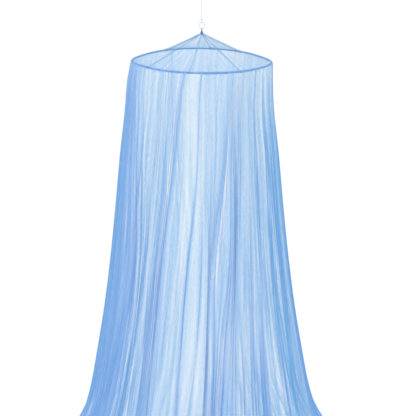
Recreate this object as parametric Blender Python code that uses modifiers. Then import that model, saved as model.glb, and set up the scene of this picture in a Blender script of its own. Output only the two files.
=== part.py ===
"""A round mosquito net canopy hung from a ceiling hook.

A hoop bound in cloth hangs from six cord stays that meet in a binding at the top. A
conical roof net lies over the stays, and one long gathered net falls from the hoop and
spreads out on the floor. Above the binding are a tape loop, a plastic ring and a short
cord, which is tied over a hook in the ceiling.

Units are metres, +Z is up, and the origin is the middle of the ceiling plate's top face.
Bearings are in degrees round the vertical axis: 0 is the front (-Y) and +90 is +X.
"""

import math

import bmesh
import bpy
import numpy as np

# ---- Driving dimensions ----------------------------------------------------------------
HOOP_RADIUS = 0.2965  # to the middle of the bound hoop
HOOP_TUBE = 0.0033
HOOP_STEP = 5.0  # degrees between the hoop's sections, and between its sleeve's
HOOP_DROP = 0.360  # the hoop below the ceiling
FLOOR_DROP = 1.860  # the floor below the hoop
PEAK = 0.1135  # the underside of the top binding above the hoop
TILT = 0.0045  # how much lower than its middle the hoop's right side hangs
DROOP = 0.005  # how far its sides droop, which no stay is near
BEND = 0.018  # how it bends towards each side: up from the front and down from the back
BACK = 0.0015  # how much lower its back hangs than its front
SEAT = 0.0003  # the gap between pieces that touch

NET = 0.0015  # the net's thickness, threads and all
HEM = 0.0024  # where the hem is turned up
HEM_ROWS = 2  # the sections that the hem spans
SLACK = 0.0009  # how loosely the hung net lies on the hoop
WRAP = (62.0, 12.0)  # where its top two rows lie round the hoop, up from the outer side

JOINER_WALL = 0.0010
JOINER_FROM, JOINER_TO = 0.0, 20.0  # bearings of the sleeve that joins the hoop's ends

CORD_RADIUS = 0.0010
STAY_KNOT = 0.0022
STAY_KNOT_RISE = 0.0015  # how high on the hoop's inner side the stays are knotted
STAY_START = 0.0056  # how far from the axis the stays leave the binding
STAYS = (
    # bearing, and how much the roof net curves down between this stay and the next
    (-149.0, 0.75),
    (-50.0, 0.14),
    (-10.0, 0.16),
    (33.0, 1.35),
    (146.0, 0.06),
    (172.0, 0.13),
)

BINDING_HEIGHT = 0.012
BINDING_RADIUS = 0.0080  # at its lower rim
TAPE_THICK = 0.0010
TAPE_WIDTH = 0.0040
TAPE_RISE = 0.0100  # from the binding to the ring's lower wire
RING_WIRE = 0.0016
RING_WIDE, RING_TALL = 0.0110, 0.0140  # half sizes of the plastic ring's centreline
HOOK_WIRE = 0.0017
HOOK_BEND = 0.0090
HOOK_SHANK = 0.0120
PLATE_RADIUS, PLATE_THICK = 0.020, 0.005
KNOT_RADIUS, KNOT_HEIGHT = 0.0026, 0.0048

# The hung net, section by section: how far below the hoop, the radius that its valleys
# keep, and how far its pleats stand out from there.
SECTIONS = (
    # drop, radius, depth
    (-0.0052, 0.2993, 0.0000),
    (-0.0012, 0.3023, 0.0000),
    (0.0060, 0.3033, 0.0010),
    (0.0300, 0.3010, 0.0055),
    (0.0900, 0.3030, 0.0090),
    (0.2000, 0.3056, 0.0135),
    (0.3800, 0.3210, 0.0180),
    (0.6000, 0.3348, 0.0225),
    (0.8400, 0.3567, 0.0270),
    (1.0800, 0.3850, 0.0305),
    (1.3000, 0.4203, 0.0335),
    (1.4500, 0.4475, 0.0350),
    (1.5500, 0.4755, 0.0345),
    (1.7000, 0.5600, 0.0310),
    (1.8150, 0.6230, 0.0250),
    (1.8490, 0.6570, 0.0170),
    (1.8585, 0.7000, 0.0100),
)

# The main pleats, one row each, round the net: their bearing at the hoop and at the hem,
# and their depth against the section's.
PLEATS = (
    # hoop, hem, depth
    (-177.0, -174.0, 0.7),
    (-167.0, -160.0, 1.2),
    (-158.0, -151.0, 0.9),
    (-149.0, -143.0, 1.1),
    (-139.0, -135.0, 0.8),
    (-129.0, -127.0, 1.2),
    (-119.0, -118.0, 0.9),
    (-110.0, -109.0, 1.0),
    (-101.0, -101.0, 1.1),
    (-92.0, -93.0, 0.9),
    (-83.0, -84.0, 1.1),
    (-74.0, -75.0, 1.0),
    (-66.0, -67.0, 1.2),
    (-58.0, -59.0, 0.9),
    (-50.0, -52.0, 1.1),
    (-42.0, -45.0, 1.0),
    (-34.0, -39.0, 1.2),
    (-26.0, -34.0, 0.9),
    (-17.0, -28.0, 1.2),
    (-1.0, -13.0, 0.5),
    (9.0, 3.0, 1.1),
    (17.0, 8.0, 0.9),
    (24.0, 13.0, 1.3),
    (31.0, 21.0, 1.0),
    (38.0, 29.0, 0.9),
    (45.0, 36.0, 1.3),
    (53.0, 46.0, 0.9),
    (61.0, 55.0, 1.1),
    (69.0, 64.0, 1.0),
    (77.0, 74.0, 1.2),
    (86.0, 84.0, 1.0),
    (95.0, 94.0, 1.1),
    (104.0, 103.0, 0.9),
    (113.0, 112.0, 1.1),
    (122.0, 121.0, 0.8),
    (131.0, 130.0, 1.2),
    (141.0, 138.0, 0.9),
    (150.0, 146.0, 1.1),
    (164.0, 163.0, 0.6),
)
COLUMNS_PER_PLEAT = 4

LEAN = (-0.0110, 0.0)  # how far the hung net's middle stands to one side of the hoop's
LEAN_DROP = 0.090  # the drop over which it gets there
LEVEL_DROP = 0.600  # the drop over which it loses the hoop's hang

# Slow swells of the hem's outline: waves round the net, size and phase in degrees.
SWELLS = ((2, 0.012, 35.0), (3, 0.009, 200.0), (5, 0.006, 80.0))

ROOF_ROWS = (0.0, 0.05, 0.14, 0.27, 0.42, 0.58, 0.74, 0.88, 1.0)
ROOF_STEP = 6.0  # degrees between the roof's columns
RIDGE_LIFT = 0.0027  # the roof net over the middle of a stay

BLUE = (0.18, 0.36, 0.76, 1.0)
DEEP_BLUE = (0.10, 0.25, 0.62, 1.0)
WHITE = (0.85, 0.86, 0.88, 1.0)
CLEAR = (0.80, 0.88, 0.92, 1.0)


# ---- Small helpers ---------------------------------------------------------------------
def material(name, colour, roughness):
    """A plain Principled finish."""
    finish = bpy.data.materials.new(name)
    finish.use_nodes = True
    shader = finish.node_tree.nodes["Principled BSDF"]
    shader.inputs["Base Color"].default_value = colour
    shader.inputs["Roughness"].default_value = roughness
    shader.inputs["Metallic"].default_value = 0.0
    finish.diffuse_color = colour
    return finish


def add(name, data, finish, collection):
    """A new object of this data, in the canopy's collection."""
    data.materials.append(finish)
    piece = bpy.data.objects.new(name, data)
    collection.objects.link(piece)
    return piece


def around(bearing, radius):
    """The x and y of a point at that bearing and distance from the axis."""
    angle = math.radians(bearing)
    return radius * math.sin(angle), -radius * math.cos(angle)


def lowered(bearing, level=1.0):
    """How far the hoop's own hang lowers a point at that bearing: at level 1 as far as the hoop."""
    side, back = math.sin(math.radians(bearing)), -math.cos(math.radians(bearing))
    return (TILT * side + DROOP * side**2 + BEND * back * side**4 + BACK * (1 + back) / 2) * level


def smooth_line(points, steps):
    """A smooth curve through points, with that many steps from each to the next."""
    points = np.array(points, float)
    ends = [2 * points[0] - points[1], *points, 2 * points[-1] - points[-2]]
    line = []
    for a, b, c, d in zip(ends, ends[1:], ends[2:], ends[3:]):
        for s in np.arange(steps) / steps:
            bend = (2 * a - 5 * b + 4 * c - d) * s**2 + (3 * b - a - 3 * c + d) * s**3
            line.append(0.5 * (2 * b + (c - a) * s + bend))
    return [*line, points[-1]]


def wire(name, line, radius, finish, collection, cyclic=False, sides=2, caps=True):
    """A round wire or cord along a line of points."""
    curve = bpy.data.curves.new(name, "CURVE")
    curve.dimensions = "3D"
    spline = curve.splines.new("POLY")
    spline.points.add(len(line) - 1)
    for point, place in zip(spline.points, line):
        point.co = (*place, 1.0)
    spline.use_cyclic_u = cyclic
    curve.bevel_depth = radius
    curve.bevel_resolution = sides
    curve.use_fill_caps = caps and not cyclic
    return add(name, curve, finish, collection)


def as_mesh(piece):
    """The piece's evaluated mesh as an object of the same name, its loose caps welded on."""
    bpy.context.view_layer.update()
    graph = bpy.context.evaluated_depsgraph_get()
    mesh = bpy.data.meshes.new_from_object(piece.evaluated_get(graph))
    shape = bmesh.new()
    shape.from_mesh(mesh)
    bmesh.ops.remove_doubles(shape, verts=shape.verts, dist=0.00001)
    shape.to_mesh(mesh)
    shape.free()
    name, home, place = piece.name, piece.users_collection[0], piece.matrix_world.copy()
    bpy.data.objects.remove(piece)
    solid = bpy.data.objects.new(name, mesh)
    solid.matrix_world = place
    home.objects.link(solid)
    return solid


def join(piece, others):
    """Fuses others into piece by Boolean union, and hides them as helpers."""
    for other in others:
        union = piece.modifiers.new("join " + other.name, "BOOLEAN")
        union.operation = "UNION"
        union.object = other
        other.hide_render = True
        other.display_type = "WIRE"


def smooth_shade(piece, angle=40.0):
    piece.data.shade_smooth()
    piece.data.set_sharp_from_angle(angle=math.radians(angle))


# ---- Hoop ------------------------------------------------------------------------------
def joiner_share(bearing):
    """1 along the joining sleeve, falling to 0 within a few degrees past its ends."""
    fade = 4.0
    past = max(JOINER_FROM - bearing, bearing - JOINER_TO, 0.0)
    return max(0.0, 1.0 - past / fade)


def cloth_seat(bearing):
    """How far from the hoop's centreline the net's middle lies where it is sewn on."""
    return HOOP_TUBE + JOINER_WALL * 1.3 * joiner_share(bearing) + SEAT + NET / 2


def make_hoop(finish, home):
    """The hoop in its cloth binding, a plain ring."""
    bpy.ops.mesh.primitive_torus_add(
        major_segments=round(360.0 / HOOP_STEP),
        minor_segments=8,
        major_radius=HOOP_RADIUS,
        minor_radius=HOOP_TUBE,
        location=(0, 0, -HOOP_DROP),
    )
    hoop = bpy.context.object
    hoop.name = "hoop"
    for vertex in hoop.data.vertices:
        vertex.co.z -= lowered(math.degrees(math.atan2(vertex.co.x, -vertex.co.y)))
    hoop.data.materials.append(finish)
    bpy.context.collection.objects.unlink(hoop)
    home.objects.link(hoop)
    smooth_shade(hoop)


def make_joiner(finish, home):
    """The sleeve over the hoop's ends: an open tube along the arc, with a wall from Solidify."""
    bearings = np.arange(JOINER_FROM, JOINER_TO + HOOP_STEP, HOOP_STEP)
    line = [(*around(bearing, HOOP_RADIUS), -HOOP_DROP - lowered(bearing)) for bearing in bearings]
    middle = HOOP_TUBE + SEAT + JOINER_WALL / 2
    tube = as_mesh(wire("hoop_joiner", line, middle, finish, home, sides=3, caps=False))
    wall = tube.modifiers.new("wall", "SOLIDIFY")
    wall.thickness = JOINER_WALL
    wall.offset = 0.0
    smooth_shade(tube)


# ---- Stays and roof --------------------------------------------------------------------
def make_stays(finish, home, helpers):
    """Six straight cords from the top binding down to the hoop, each with a knot at the hoop."""
    for number, (bearing, _) in enumerate(STAYS, start=1):
        knot_reach = HOOP_TUBE + SEAT + STAY_KNOT
        if joiner_share(bearing) > 0:
            knot_reach += JOINER_WALL + SEAT
        high, low = PEAK - SEAT - CORD_RADIUS, STAY_KNOT_RISE - lowered(bearing)
        start = (*around(bearing, STAY_START), -HOOP_DROP + high)
        end = (*around(bearing, HOOP_RADIUS - knot_reach), -HOOP_DROP + low)
        name = f"stay_{number}"
        stay = as_mesh(wire(name, [start, end], CORD_RADIUS, finish, home))
        bpy.ops.mesh.primitive_uv_sphere_add(segments=10, ring_count=6, radius=STAY_KNOT, location=end)
        knot = bpy.context.object
        knot.name = name + "_knot"
        bpy.context.collection.objects.unlink(knot)
        helpers.objects.link(knot)
        join(stay, [knot])


def roof_spans():
    """(bearing of a stay, bearing of the next, the roof's sag between them) for each span."""
    after = [*STAYS[1:], (STAYS[0][0] + 360.0, 0.0)]
    return [(here[0], there[0], here[1]) for here, there in zip(STAYS, after)]


def roof_height(bearing, share):
    """The roof net's middle above the hoop, at a share of the way out from the binding.

    Over a stay the net runs straight. Between two stays it hangs lower, as a power of the
    distance to the hoop.
    """
    bearing = STAYS[0][0] + (bearing - STAYS[0][0]) % 360.0
    low, high, sag = next(span for span in roof_spans() if span[0] <= bearing <= span[1])
    across = 1.0 - abs(2.0 * (bearing - low) / (high - low) - 1.0) ** 1.6
    rim, top = cloth_seat(bearing), PEAK + RIDGE_LIFT
    return rim + (top - rim) * (1.0 - share) ** (1.0 + sag * across)


def roof_columns():
    """Bearings of the roof's columns: every stay, and even steps of about ROOF_STEP between."""
    columns = []
    for low, high, _ in roof_spans():
        columns += list(np.linspace(low, high, round((high - low) / ROOF_STEP), endpoint=False))
    return columns


def wrapped_sheet(name, columns, rows, place, thickness, finish, home):
    """A sheet that closes on itself: a grid whose points place(column, row) sets, its two side
    edges merged, thickened by Solidify."""
    bpy.ops.mesh.primitive_grid_add(x_subdivisions=columns, y_subdivisions=rows - 1, size=1)
    sheet = bpy.context.object
    sheet.name = name
    for vertex in sheet.data.vertices:
        column = round((vertex.co.x + 0.5) * columns) % columns
        row = round((0.5 - vertex.co.y) * (rows - 1))
        vertex.co = place(column, row)
    shape = bmesh.new()
    shape.from_mesh(sheet.data)
    bmesh.ops.remove_doubles(shape, verts=shape.verts, dist=0.00001)
    shape.to_mesh(sheet.data)
    shape.free()
    wall = sheet.modifiers.new("thickness", "SOLIDIFY")
    wall.thickness = thickness
    wall.offset = 0.0
    sheet.data.materials.append(finish)
    bpy.context.collection.objects.unlink(sheet)
    home.objects.link(sheet)
    sheet.data.shade_smooth()
    return sheet


def make_roof(finish, home):
    """The conical roof net, from the top binding out over the stays to the top of the hoop."""
    bearings = roof_columns()
    inner = BINDING_RADIUS + NET

    def place(column, row):
        share, bearing = ROOF_ROWS[row], bearings[column]
        x, y = around(bearing, inner + (HOOP_RADIUS - inner) * share)
        return x, y, -HOOP_DROP + roof_height(bearing, share) - lowered(bearing, share)

    wrapped_sheet("roof_net", len(bearings), len(ROOF_ROWS), place, NET, finish, home)


# ---- Hung net --------------------------------------------------------------------------
def outward(row):
    """The direction, out and up, square to the net's fall at this section."""
    before, after = SECTIONS[max(row - 1, 0)], SECTIONS[min(row + 1, len(SECTIONS) - 1)]
    down, out = after[0] - before[0], after[1] - before[1]
    length = math.hypot(down, out)
    return down / length, out / length


def swell(bearing, drop):
    """The share by which the net stands further out than its section does: almost nothing
    until near the floor."""
    foot = (max(drop, 0.0) / FLOOR_DROP) ** 6
    turns = [(size, math.radians(waves * bearing + phase)) for waves, size, phase in SWELLS]
    return foot * sum(size * math.sin(angle) for size, angle in turns)


def hung_point(column, row):
    """A point of the hung net's middle surface. Columns follow the pleats down, and a pleat
    stands out as a cosine: full at its ridge, nothing in the valley halfway to the next."""
    drop, radius, depth = SECTIONS[row]
    number, step = divmod(column, COLUMNS_PER_PLEAT)
    phase = step / COLUMNS_PER_PLEAT
    here, after = PLEATS[number], PLEATS[(number + 1) % len(PLEATS)]
    turn = 360.0 if number == len(PLEATS) - 1 else 0.0
    fall = (max(drop, 0.0) / FLOOR_DROP) ** 0.9
    ridge = here[0] + (here[1] - here[0]) * fall
    following = after[0] + turn + (after[1] - after[0]) * fall
    bearing = ridge + (following - ridge) * phase
    own = here[2] if phase <= 0.5 else after[2]
    stand = depth * own * (0.5 + 0.5 * math.cos(2 * math.pi * phase))
    out, up = outward(row)
    clear = cloth_seat(bearing) + SLACK
    if row < len(WRAP):
        angle = math.radians(WRAP[row])
        x, y = around(bearing, HOOP_RADIUS + clear * math.cos(angle))
        return x, y, -HOOP_DROP + clear * math.sin(angle) - lowered(bearing)
    radius = (radius + stand * out) * (1.0 + swell(bearing, drop))
    if drop < 0.01:
        radius = max(radius, HOOP_RADIUS + clear + SLACK)
    share = min(max(drop, 0.0) / LEAN_DROP, 1.0)
    x, y = around(bearing, radius)
    level = min(max(1.0 - drop / LEVEL_DROP, 0.0), 1.0)
    height = -HOOP_DROP - drop + stand * up - lowered(bearing, level)
    return x + LEAN[0] * share, y + LEAN[1] * share, height


def make_hung_net(finish, home):
    """The long gathered net, from the outside of the hoop to its hem on the floor."""
    columns = COLUMNS_PER_PLEAT * len(PLEATS)
    net = wrapped_sheet("hung_net", columns, len(SECTIONS), hung_point, HEM, finish, home)
    hem = net.vertex_groups.new(name="hem")
    top = -HOOP_DROP - SECTIONS[-HEM_ROWS - 1][0] / 2 - SECTIONS[-HEM_ROWS][0] / 2
    hem.add([vertex.index for vertex in net.data.vertices if vertex.co.z < top], 1.0, "REPLACE")
    wall = net.modifiers["thickness"]
    wall.vertex_group = hem.name
    wall.thickness_vertex_group = NET / HEM


# ---- Top fittings ----------------------------------------------------------------------
def make_binding(finish, home):
    """The band wound round the gathered tip of the net: a turned shape with three ridges."""
    low = -HOOP_DROP + PEAK
    outline = [(0.0, BINDING_HEIGHT), (0.0036, BINDING_HEIGHT)]
    for ridge in range(3):
        top = BINDING_HEIGHT * (0.95 - 0.28 * ridge)
        girth = 0.0048 + 0.0012 * ridge
        outline += [(girth, top), (girth + 0.0006, top - 0.0011), (girth, top - 0.0023)]
    outline += [(BINDING_RADIUS, 0.0010), (BINDING_RADIUS - 0.0006, 0.0), (0.0, 0.0)]
    points = [(radius, 0.0, low + height) for radius, height in outline]
    mesh = bpy.data.meshes.new("top_binding")
    mesh.from_pydata(points, [(i, i + 1) for i in range(len(points) - 1)], [])
    binding = add("top_binding", mesh, finish, home)
    turn = binding.modifiers.new("turn", "SCREW")
    turn.steps = turn.render_steps = 16
    turn.use_merge_vertices = True
    turn.merge_threshold = 0.00001
    turn.use_smooth_shade = True


def ring_middle():
    """The height of the plastic ring's middle: its lower wire hangs in the tape loop."""
    return -HOOP_DROP + PEAK + BINDING_HEIGHT + TAPE_RISE + RING_TALL


def make_tape_loop(finish, home):
    """The tape loop sewn into the binding: a flat outline of an arch, as wide as the tape."""
    foot = -HOOP_DROP + PEAK + BINDING_HEIGHT + SEAT
    inside = RING_WIRE + SEAT
    arch = ring_middle() - RING_TALL + 0.0003
    outside = inside + TAPE_THICK
    angles = np.linspace(0.0, math.pi, 13)
    outline = [(outside * math.cos(a), arch + outside * math.sin(a)) for a in angles]
    outline += [(-outside, foot), (-inside, foot)]
    outline += [(inside * math.cos(a), arch + inside * math.sin(a)) for a in reversed(angles)]
    outline += [(inside, foot), (outside, foot)]
    curve = bpy.data.curves.new("tape_loop", "CURVE")
    curve.dimensions = "2D"
    curve.fill_mode = "BOTH"
    curve.extrude = TAPE_WIDTH / 2
    spline = curve.splines.new("POLY")
    spline.points.add(len(outline) - 1)
    for point, (across, height) in zip(spline.points, outline):
        point.co = (across, height, 0.0, 1.0)
    spline.use_cyclic_u = True
    loop = add("tape_loop", curve, finish, home)
    loop.rotation_euler = (math.radians(90), 0, math.radians(90))


def make_ring(finish, home):
    """The oval plastic ring, standing face on to the front."""
    middle = ring_middle()
    angles = np.linspace(0.0, 2 * math.pi, 24, endpoint=False)
    line = [(RING_WIDE * math.cos(a), 0.0, middle + RING_TALL * math.sin(a)) for a in angles]
    wire("hang_ring", line, RING_WIRE, finish, home, cyclic=True)


def make_hook(finish, home):
    """The round ceiling plate and the wire hook under it, open towards +X."""
    bpy.ops.mesh.primitive_cylinder_add(
        vertices=24, radius=PLATE_RADIUS, depth=PLATE_THICK, location=(0, 0, -PLATE_THICK / 2)
    )
    plate = bpy.context.object
    plate.name = "ceiling_plate"
    plate.data.materials.append(finish)
    edge = plate.modifiers.new("edge", "BEVEL")
    edge.width = 0.0012
    edge.segments = 2
    edge.limit_method = "ANGLE"
    bpy.context.collection.objects.unlink(plate)
    home.objects.link(plate)
    smooth_shade(plate)
    middle = hook_middle()
    shank_end = -PLATE_THICK - HOOK_SHANK
    shank_top = -PLATE_THICK - SEAT
    route = [(0.0, 0.0, height) for height in (shank_top, shank_top - 0.005, shank_end)]
    for angle in range(125, 400, 25):
        turned = math.radians(angle)
        route.append((HOOK_BEND * math.cos(turned), 0.0, middle + HOOK_BEND * math.sin(turned)))
    wire("ceiling_hook", smooth_line(route, 2), HOOK_WIRE, finish, home)


def hook_middle():
    """The height of the middle of the hook's bend."""
    return -PLATE_THICK - HOOK_SHANK - HOOK_BEND - 0.001


# ---- Hanging cord ----------------------------------------------------------------------
def eye(wire_height, wire_radius, knot_height):
    """Half the route of a cord that is looped round a wire and comes back to its knot."""
    side = wire_radius + SEAT + CORD_RADIUS
    up = 1.0 if wire_height > knot_height else -1.0
    return [
        (0.0, 0.6 * CORD_RADIUS, knot_height),
        (0.0, side * 0.9, knot_height + up * 0.006),
        (0.0, side * 1.05, wire_height - up * 0.001),
        (0.0, side * 0.75, wire_height + up * side * 0.75),
        (0.0, 0.0, wire_height + up * side * 1.05),
    ]


def mirrored(route):
    return [(x, -y, z) for x, y, z in route]


def make_cord(finish, home, helpers):
    """The cord from the hook to the plastic ring, with an eye and a knot at each end."""
    hook_wire = hook_middle() - HOOK_BEND
    ring_wire = ring_middle() + RING_TALL
    upper_knot, lower_knot = hook_wire - 0.011, ring_wire + 0.011
    over_hook = eye(hook_wire, HOOK_WIRE, upper_knot)
    through_ring = eye(ring_wire, RING_WIRE, lower_knot)
    route = over_hook + mirrored(over_hook[:-1])[::-1]
    heights = np.linspace(upper_knot - 0.008, lower_knot + 0.008, 5)
    route += [(0.0, 0.0, height) for height in heights]
    route += through_ring + mirrored(through_ring[:-1])[::-1]
    cord = as_mesh(wire("hang_cord", smooth_line(route, 2), CORD_RADIUS, finish, home))
    knots = []
    for name, height in (("upper_knot", upper_knot), ("lower_knot", lower_knot)):
        bpy.ops.mesh.primitive_uv_sphere_add(segments=12, ring_count=7, location=(0, 0, height))
        knot = bpy.context.object
        knot.name = name
        knot.scale = (KNOT_RADIUS, KNOT_RADIUS * 1.15, KNOT_HEIGHT)
        bpy.context.collection.objects.unlink(knot)
        helpers.objects.link(knot)
        knots.append(knot)
    join(cord, knots)


# ---- The canopy ------------------------------------------------------------------------
def main():
    for old in list(bpy.data.objects):
        bpy.data.objects.remove(old)
    home = bpy.data.collections.new("mosquito_net_canopy")
    helpers = bpy.data.collections.new("helpers")
    bpy.context.scene.collection.children.link(home)
    bpy.context.scene.collection.children.link(helpers)
    net = material("blue_net", BLUE, 0.8)
    trim = material("blue_binding", DEEP_BLUE, 0.75)
    cord = material("white_cord", WHITE, 0.7)
    plastic = material("white_plastic", WHITE, 0.4)
    clear = material("clear_plastic", CLEAR, 0.15)
    make_hoop(trim, home)
    make_joiner(trim, home)
    make_stays(trim, home, helpers)
    make_roof(net, home)
    make_hung_net(net, home)
    make_binding(trim, home)
    make_tape_loop(trim, home)
    make_ring(clear, home)
    make_hook(plastic, home)
    make_cord(cord, home, helpers)


main()
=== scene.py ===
import math

import bpy
import numpy as np
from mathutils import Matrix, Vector


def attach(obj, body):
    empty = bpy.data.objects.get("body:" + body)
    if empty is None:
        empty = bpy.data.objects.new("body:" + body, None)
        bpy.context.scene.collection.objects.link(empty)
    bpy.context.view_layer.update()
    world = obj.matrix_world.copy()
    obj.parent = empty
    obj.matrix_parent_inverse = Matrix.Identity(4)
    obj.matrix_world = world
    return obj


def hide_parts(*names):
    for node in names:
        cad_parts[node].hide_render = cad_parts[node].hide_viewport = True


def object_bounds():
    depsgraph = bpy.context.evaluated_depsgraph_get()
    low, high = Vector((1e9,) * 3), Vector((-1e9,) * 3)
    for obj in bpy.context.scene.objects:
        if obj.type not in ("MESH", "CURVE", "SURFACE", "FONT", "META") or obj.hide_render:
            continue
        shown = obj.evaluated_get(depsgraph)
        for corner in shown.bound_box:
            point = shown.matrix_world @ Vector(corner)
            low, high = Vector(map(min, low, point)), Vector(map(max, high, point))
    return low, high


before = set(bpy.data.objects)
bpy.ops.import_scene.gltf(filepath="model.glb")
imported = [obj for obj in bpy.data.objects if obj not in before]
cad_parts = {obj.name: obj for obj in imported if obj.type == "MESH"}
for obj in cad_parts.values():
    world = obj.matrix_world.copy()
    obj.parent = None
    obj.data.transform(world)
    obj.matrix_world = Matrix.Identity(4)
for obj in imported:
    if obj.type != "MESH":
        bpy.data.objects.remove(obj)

cad_low, cad_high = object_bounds()
scene = bpy.context.scene

# ---- The room ---------------------------------------------------------------------------
# A white floor and a white surround, with one large soft lamp high on the left. The camera
# stands ten metres off and nearly two metres above the hoop, on a long lens.
HOOP_Z = -0.360
FLOOR_Z = float(cad_low[2]) - 0.0008
CAMERA_SPOT, CAMERA_AIM = Vector((0.0, -9.854, 1.440)), Vector((0.0264, 0.0, -1.0086))
CAMERA_LENS, CAMERA_FAR = 203.0, 100.0  # in millimetres on a sensor 36 mm wide, and in metres
LAMP_SPOT, LAMP_AIM = Vector((-1.8, -5.0, 3.2)), Vector((0.0, 0.0, -1.0))
LAMP_WIDTH, LAMP_WATTS = 4.0, 65.0
SURROUND_COLOUR, SURROUND_STRENGTH = (1.0, 1.0, 1.0, 1.0), 1.08
FLOOR_SIZE, FLOOR_WHITE = 60.0, (0.96, 0.96, 0.96, 1.0)

camera = bpy.data.objects.new("camera", bpy.data.cameras.new("camera"))
camera.data.lens = CAMERA_LENS
camera.data.sensor_width = 36.0
camera.data.clip_end = CAMERA_FAR
camera.location = CAMERA_SPOT
camera.rotation_euler = (CAMERA_AIM - CAMERA_SPOT).to_track_quat("-Z", "Y").to_euler()
scene.collection.objects.link(camera)
scene.camera = camera

lamp = bpy.data.objects.new("soft_lamp", bpy.data.lights.new("soft_lamp", "AREA"))
lamp.data.shape = "DISK"
lamp.data.size = LAMP_WIDTH
lamp.data.energy = LAMP_WATTS
lamp.location = LAMP_SPOT
lamp.rotation_euler = (LAMP_AIM - LAMP_SPOT).to_track_quat("-Z", "Y").to_euler()
scene.collection.objects.link(lamp)

world = bpy.data.worlds.new("surround")
world.use_nodes = True
surround = world.node_tree.nodes["Background"]
surround.inputs["Color"].default_value = SURROUND_COLOUR
surround.inputs["Strength"].default_value = SURROUND_STRENGTH
scene.world = world
scene.view_settings.view_transform = "Standard"
# Light crosses many layers of net before it reaches the camera.
scene.cycles.transparent_max_bounces = 96
scene.cycles.max_bounces = 12
scene.cycles.diffuse_bounces = 6


class Tone:
    """A value or colour in a material. Arithmetic on it adds the Math nodes that work it out."""

    def __init__(self, finish, socket):
        self.finish = finish
        self.socket = socket

    def math(self, operation, first, second=0.0):
        return self.finish.node("ShaderNodeMath", {"operation": operation}, {0: first, 1: second})[0]

    def __add__(self, other):
        return self.math("ADD", self, other)

    def __sub__(self, other):
        return self.math("SUBTRACT", self, other)

    def __rsub__(self, other):
        return self.math("SUBTRACT", other, self)

    def __mul__(self, other):
        return self.math("MULTIPLY", self, other)

    __radd__ = __add__
    __rmul__ = __mul__

    def sine(self):
        return self.math("SINE", self)

    def cosine(self):
        return self.math("COSINE", self)

    def least(self, other):
        return self.math("MINIMUM", self, other)

    def most(self, other):
        return self.math("MAXIMUM", self, other)


class Finish:
    """A Principled material. Fixed sockets are set by name; node() adds a node and returns its outputs."""

    def __init__(self, name, **fixed):
        self.material = bpy.data.materials.new(name)
        self.material.use_nodes = True
        self.tree = self.material.node_tree
        self.shader = self.tree.nodes["Principled BSDF"]
        for socket, value in fixed.items():
            self.shader.inputs[socket.replace("_", " ")].default_value = value

    def node(self, kind, settings=(), sockets=()):
        """Adds a node, makes its settings, then its sockets' values or links, and returns its outputs."""
        made = self.tree.nodes.new(kind)
        for key, value in dict(settings).items():
            setattr(made, key, value)
        for key, value in dict(sockets).items():
            if isinstance(value, Tone):
                self.tree.links.new(value.socket, made.inputs[key])
            else:
                made.inputs[key].default_value = value
        return [Tone(self, out) for out in made.outputs]

    def feed(self, **tones):
        """Links tones to the shader's sockets of those names."""
        for socket, tone in tones.items():
            self.tree.links.new(tone.socket, self.shader.inputs[socket.replace("_", " ")])

    def noise(self, place, scale, detail=2.0):
        """A cloudy value from 0 to 1 at this place."""
        return self.node("ShaderNodeTexNoise", {}, {"Vector": place, "Scale": scale, "Detail": detail})[0]

    def blend(self, share, low, high):
        """A colour from low to high by share."""
        return self.node("ShaderNodeMix", {"data_type": "RGBA"}, {0: share, 6: low, 7: high})[2]

    def relief(self, height, depth):
        """A Bump node on the shader's Normal, with that height and depth in metres."""
        self.feed(Normal=self.node("ShaderNodeBump", {}, {"Height": height, "Distance": depth})[0])


bpy.ops.mesh.primitive_plane_add(size=FLOOR_SIZE, location=(0, 0, FLOOR_Z))
floor = bpy.context.object
floor.name = "floor"
floor_finish = Finish("white_floor", Base_Color=FLOOR_WHITE, Roughness=0.9)
floor.data.materials.append(floor_finish.material)


# ---- Hung net ---------------------------------------------------------------------------
# One long panel of fine polyester net, gathered on the hoop and falling to the floor, its
# hem turned up. The cloth bunches at both sides, and a plain band hangs in the middle of
# the front. It is sewn to the roof net round the hoop.
NET_TINT = (0.150, 0.390, 0.606, 1.0)
NET_DENSE_SHADE = (0.150, 0.313, 0.600, 1.0)  # painted shade: the darker colour where the cloth is dense, for the shade inside its gathers
NET_PAINTED_GLOW = 0.34  # how much of its colour it gives off as painted light, standing in for light scattered in it and lifting the shade in its folds
THREAD_COVER = 0.106  # the share of the light that one flat layer stops
CROWDING = 0.3  # the power by which cloth that is crowded together stops more
HEM_SHADE = 0.40  # how much denser the cloth gathers down at the hem
LAYER_DRIFT = 0.24  # how much the gathered layers change from place to place
MESH_PITCH = 0.0022  # from one hole of the mesh to the next
THREAD_EDGE, THREAD_RISE = 0.35, 0.8  # where a thread's edge cuts the pattern, and how sharply
MESH_SHARE, MESH_CONTRAST = 0.52, 1.8  # the threads' mean value, and how strongly they show
GRAIN_SCALE, GRAIN = 210.0, 0.6  # uneven threads, to a metre, and how strongly they show
CREASES = (48.0, 1.1)  # fine creases to a metre, across the cloth and along it
CREASE_CONTRAST, CREASE_MOST = 12.0, 0.6  # how strongly they show, and the most they change
SHADE_FROM_COVER, SHADE_RISE = 0.25, 1.8  # the cover from which painted shade darkens the colour, and how fast
CUT_WIDTH, CUT_LENGTH = 4.5, 2.00
HOOP_TILT, HOOP_DROOP = 0.0045, 0.005  # the hoop hangs lower on the right, and droops at both sides
HOOP_BEND, HOOP_BACK = 0.018, 0.0015  # it bends up from the front to each side, down from the back
LEVEL_DROP = 0.600  # below the hoop, from where on its hang no longer shows in the net
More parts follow.
